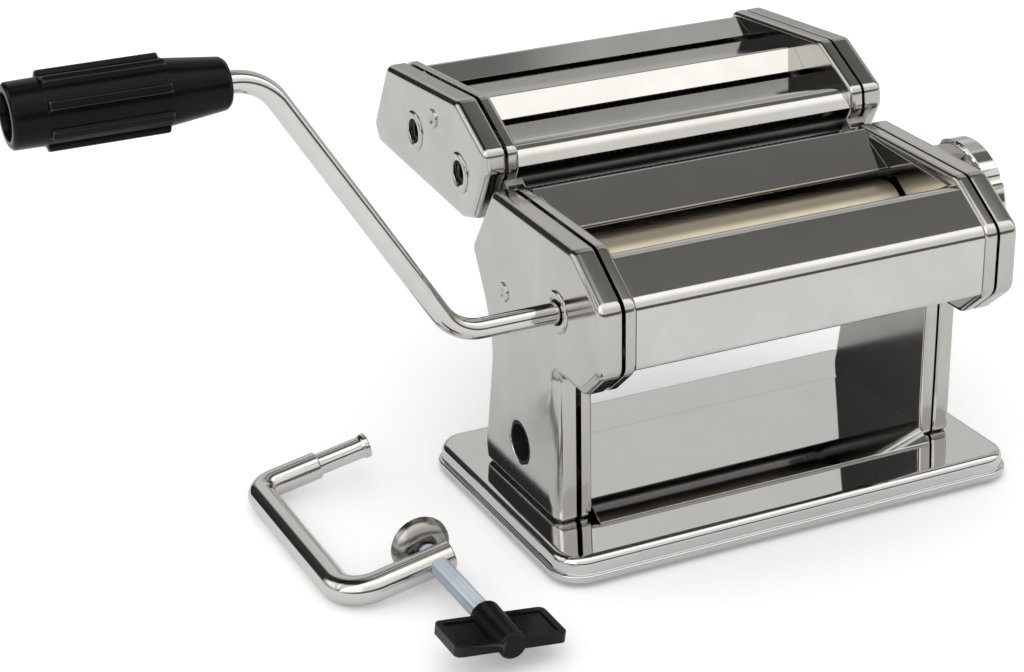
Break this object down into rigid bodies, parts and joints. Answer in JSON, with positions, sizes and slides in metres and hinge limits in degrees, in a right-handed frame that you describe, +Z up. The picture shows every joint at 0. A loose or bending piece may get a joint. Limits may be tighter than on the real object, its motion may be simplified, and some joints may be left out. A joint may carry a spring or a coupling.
{
  "type": "pasta machine",
  "caption": "Hand cranked pasta machine with a pressed steel body, smooth rollers, a thickness knob, a clip-on cutter head, a bent crank and a loose table clamp.",
  "frame": {"origin": "middle of the base tray, on the table its feet stand on", "axes": "+X along the rollers from the crank to the thickness knob, -Y the front panel, +Z up"},
  "size_m": [0.4066, 0.2482, 0.2243],
  "materials": {
    "polished": "polished pressed stainless steel",
    "satin": "satin pressed steel",
    "sheet": "bright sheet",
    "roller": "warm nickel sheen",
    "steel": "plain steel",
    "bush": "off-white nylon",
    "rubber": "black rubber",
    "black": "black plastic",
    "zinc": "bright zinc"
  },
  "bodies": {
    "frame": {"base_plate": "polished", "rubber_feet": "rubber", "base_screws": "zinc", "left_frame": "satin", "right_frame": "satin", "left_cover": "satin", "right_cover": "satin", "front_panel": "polished", "rear_panel": "sheet", "dough_guide": "polished", "hopper_sides": "sheet", "tie_rods": "steel", "tie_nuts": "steel", "roller_bushes": "bush", "crank_eyelet": "polished", "clamp_bush": "black", "front_scraper": "sheet", "cutter_rails": "steel"},
    "drive_roller": {"front_roller": "roller", "front_gear": "steel"},
    "crank_arm": {"crank": "polished", "grip_washer": "polished"},
    "crank_grip": {"grip": "black"},
    "carriage": {"roller_carriage": "bush", "rear_scraper": "sheet"},
    "pressed_roller": {"rear_roller": "roller", "rear_gear": "steel"},
    "regulator": {"regulator_shaft": "steel", "knob_screw": "steel", "knob_spring": "steel"},
    "pull_knob": {"knob": "polished"},
    "cutter_head": {"cutter_left_cap": "satin", "cutter_right_cap": "satin", "cutter_left_plate": "satin", "cutter_right_plate": "satin", "cutter_rear_panel": "polished", "cutter_ridge_panel": "polished", "cutter_front_panel": "polished", "cutter_tie_rods": "steel", "cutter_rivets": "steel", "cutter_bushes": "bush", "cutter_eyelets": "polished", "cutter_hooks": "steel", "cutter_combs": "steel"},
    "wide_drive": {"wide_drive_roll": "steel", "wide_drive_gear": "steel"},
    "wide_mate": {"wide_mate_roll": "steel", "wide_mate_gear": "steel"},
    "narrow_drive": {"narrow_drive_roll": "steel", "narrow_drive_gear": "steel"},
    "narrow_mate": {"narrow_mate_roll": "steel", "narrow_mate_gear": "steel"},
    "clamp": {"clamp_frame": "polished"},
    "pressure_cup": {"clamp_cup": "steel"},
    "thumb_screw": {"clamp_screw": "zinc", "clamp_wing": "black"}
  },
  "joints": [
    {"name": "roller_turn", "type": "hinge", "parent": "frame", "child": "drive_roller", "pos_m": [0, -0.0347, 0.1031], "axis": [1, 0, 0], "continuous": true},
    {"name": "crank_pull", "type": "slide", "parent": "drive_roller", "child": "crank_arm", "axis": [-1, 0, 0], "range_m": [0, 0.03]},
    {"name": "grip_spin", "type": "hinge", "parent": "crank_arm", "child": "crank_grip", "pos_m": [-0.25, -0.0347, 0.21113], "axis": [1, 0, 0], "continuous": true},
    {"name": "regulator_turn", "type": "hinge", "parent": "frame", "child": "regulator", "pos_m": [0.092, -0.0044, 0.1031], "axis": [1, 0, 0], "range_deg": [0, 288]},
    {"name": "roller_gap", "type": "slide", "parent": "frame", "child": "carriage", "axis": [0, -1, 0], "range_m": [0, 0.0021]},
    {"name": "rear_roller_turn", "type": "hinge", "parent": "carriage", "child": "pressed_roller", "pos_m": [0, -0.0044, 0.1031], "axis": [1, 0, 0], "continuous": true},
    {"name": "knob_slide", "type": "slide", "parent": "regulator", "child": "pull_knob", "axis": [1, 0, 0], "range_m": [-0.003, 0], "deforming": ["knob_spring"]},
    {"name": "cutter_lift", "type": "slide", "parent": "frame", "child": "cutter_head", "axis": [0, -0.5683, 0.8228], "range_m": [0, 0.04]},
    {"name": "wide_cut_turn", "type": "hinge", "parent": "cutter_head", "child": "wide_drive", "pos_m": [0, 0.0966, 0.13487], "axis": [1, 0, 0], "continuous": true},
    {"name": "wide_mate_turn", "type": "hinge", "parent": "cutter_head", "child": "wide_mate", "pos_m": [0, 0.1175, 0.13689], "axis": [1, 0, 0], "continuous": true},
    {"name": "narrow_cut_turn", "type": "hinge", "parent": "cutter_head", "child": "narrow_drive", "pos_m": [0, 0.05221, 0.1306], "axis": [1, 0, 0], "continuous": true},
    {"name": "narrow_mate_turn", "type": "hinge", "parent": "cutter_head", "child": "narrow_mate", "pos_m": [0, 0.07311, 0.13261], "axis": [1, 0, 0], "continuous": true},
    {"name": "clamp_away", "type": "slide", "parent": "frame", "child": "clamp", "axis": [0, 1, 0], "range_m": [0, 0.1]},
    {"name": "clamp_advance", "type": "slide", "parent": "clamp", "child": "pressure_cup", "axis": [0, 1, 0], "range_m": [0, 0.03]},
    {"name": "clamp_screw_turn", "type": "hinge", "parent": "pressure_cup", "child": "thumb_screw", "pos_m": [-0.14605, -0.0375, 0.01261], "axis": [0, 1, 0], "range_deg": [0, 8640]}
  ],
  "couplings": [
    {"joint": "rear_roller_turn", "follows": "roller_turn", "ratio": -1},
    {"joint": "roller_gap", "follows": "regulator_turn", "m_per_rad": 0.00041778},
    {"joint": "wide_mate_turn", "follows": "wide_cut_turn", "ratio": -1},
    {"joint": "narrow_mate_turn", "follows": "narrow_cut_turn", "ratio": -1},
    {"joint": "clamp_screw_turn", "follows": "clamp_advance", "rad_per_m": 5026.5}
  ]
}
